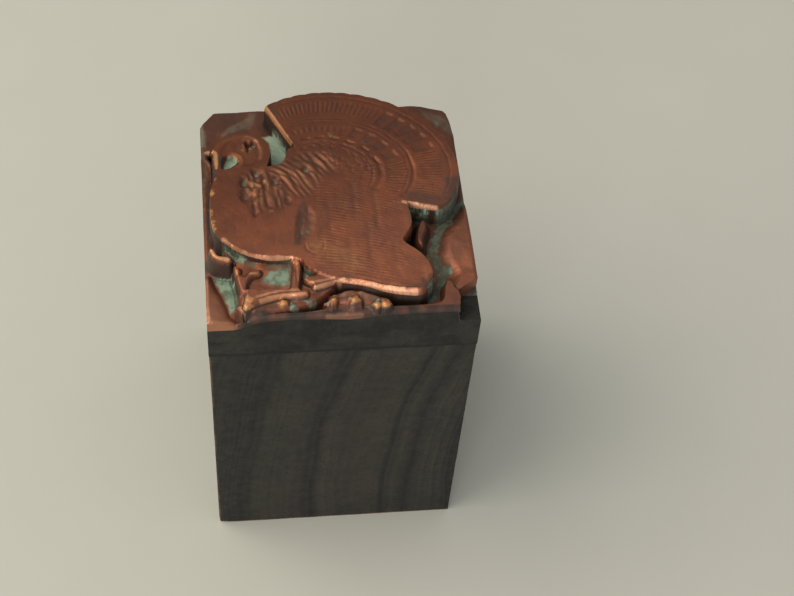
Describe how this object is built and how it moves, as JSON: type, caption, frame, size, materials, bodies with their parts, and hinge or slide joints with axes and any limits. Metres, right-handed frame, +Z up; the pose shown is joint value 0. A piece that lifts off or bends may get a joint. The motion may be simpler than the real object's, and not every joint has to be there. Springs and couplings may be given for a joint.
{
  "type": "letterpress printing block",
  "caption": "Small letterpress printing block: a copper electrotype of a strutting turkey in relief, backed with cast metal and nailed to a wooden mount of type height.",
  "frame": {"origin": "middle of the wooden base, on the surface that the block stands on", "axes": "+Z up to the printing face, -Y towards the front that the picture shows, +X to the right; the bird faces -X"},
  "size_m": [0.0149, 0.0154, 0.0233],
  "materials": {
    "wood": "ink-stained, sawn and unvarnished",
    "backing_metal": "oxidised cast type metal, sawn",
    "tin": "dull tinned",
    "copper": "weathered copper with verdigris in the hollows",
    "brad": "dull iron wire"
  },
  "bodies": {
    "root": {"wood_mount": "wood", "backing_metal": "backing_metal", "tin_film": "tin", "copper_shell": "copper", "brad_neck": "brad", "brad_front_left": "brad", "brad_right": "brad"}
  },
  "joints": []
}
